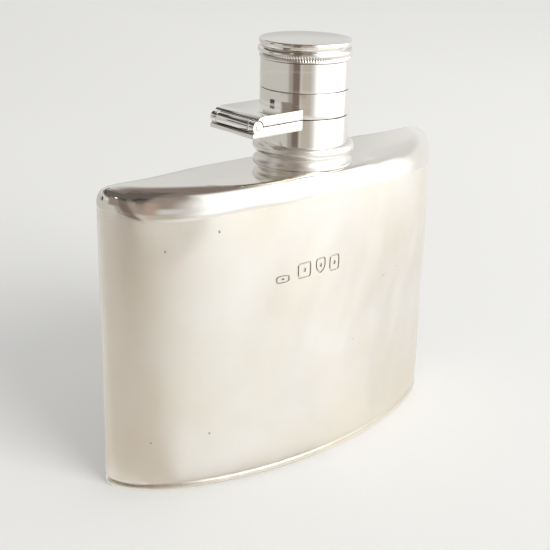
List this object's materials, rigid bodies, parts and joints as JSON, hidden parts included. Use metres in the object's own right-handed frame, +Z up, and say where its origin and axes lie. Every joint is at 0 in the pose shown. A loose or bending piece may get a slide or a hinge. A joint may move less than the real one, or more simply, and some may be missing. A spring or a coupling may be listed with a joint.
{
  "type": "hip flask",
  "caption": "Half-moon pocket flask with rolled edges, a round neck and a hinged, turn-to-lock bayonet cap with a cork seal.",
  "frame": {"origin": "on the neck's axis, at the flat face that the flask stands on", "axes": "+X along the body's width, away from the cap's hinge; +Y towards the slightly hollow back; +Z up the neck"},
  "size_m": [0.1, 0.0259, 0.0986],
  "materials": {
    "body_silver": "polished silver, warm with age, finely scratched from handling",
    "fitting_silver": "bright polished silver",
    "cork": "natural cork, matt and speckled"
  },
  "bodies": {
    "flask": {"front_shell": "body_silver", "back_shell": "body_silver", "base_plate": "body_silver", "top_plate": "body_silver", "foot_ring": "fitting_silver", "neck_collar": "fitting_silver", "mouth_tube": "fitting_silver", "bayonet_lug_front": "fitting_silver", "bayonet_lug_back": "fitting_silver", "hinge_leaf_lower": "fitting_silver", "hinge_pin": "fitting_silver"},
    "cap_base": {"hinge_leaf_upper": "fitting_silver", "cap_hinge_band": "fitting_silver"},
    "cap": {"cap_sleeve": "fitting_silver", "milled_ring": "fitting_silver", "cap_top": "fitting_silver", "retaining_ring": "fitting_silver", "bayonet_sleeve": "fitting_silver", "seal_cup": "fitting_silver", "cork_seal": "cork"}
  },
  "joints": [
    {"name": "cap_swing", "type": "hinge", "parent": "flask", "child": "cap_base", "pos_m": [-0.02, 0, 0.0815], "axis": [0, -1, 0], "range_deg": [0, 135]},
    {"name": "cap_turn", "type": "hinge", "parent": "cap_base", "child": "cap", "pos_m": [0, 0, 0.09], "axis": [0, 0, -1], "range_deg": [0, 60]}
  ]
}
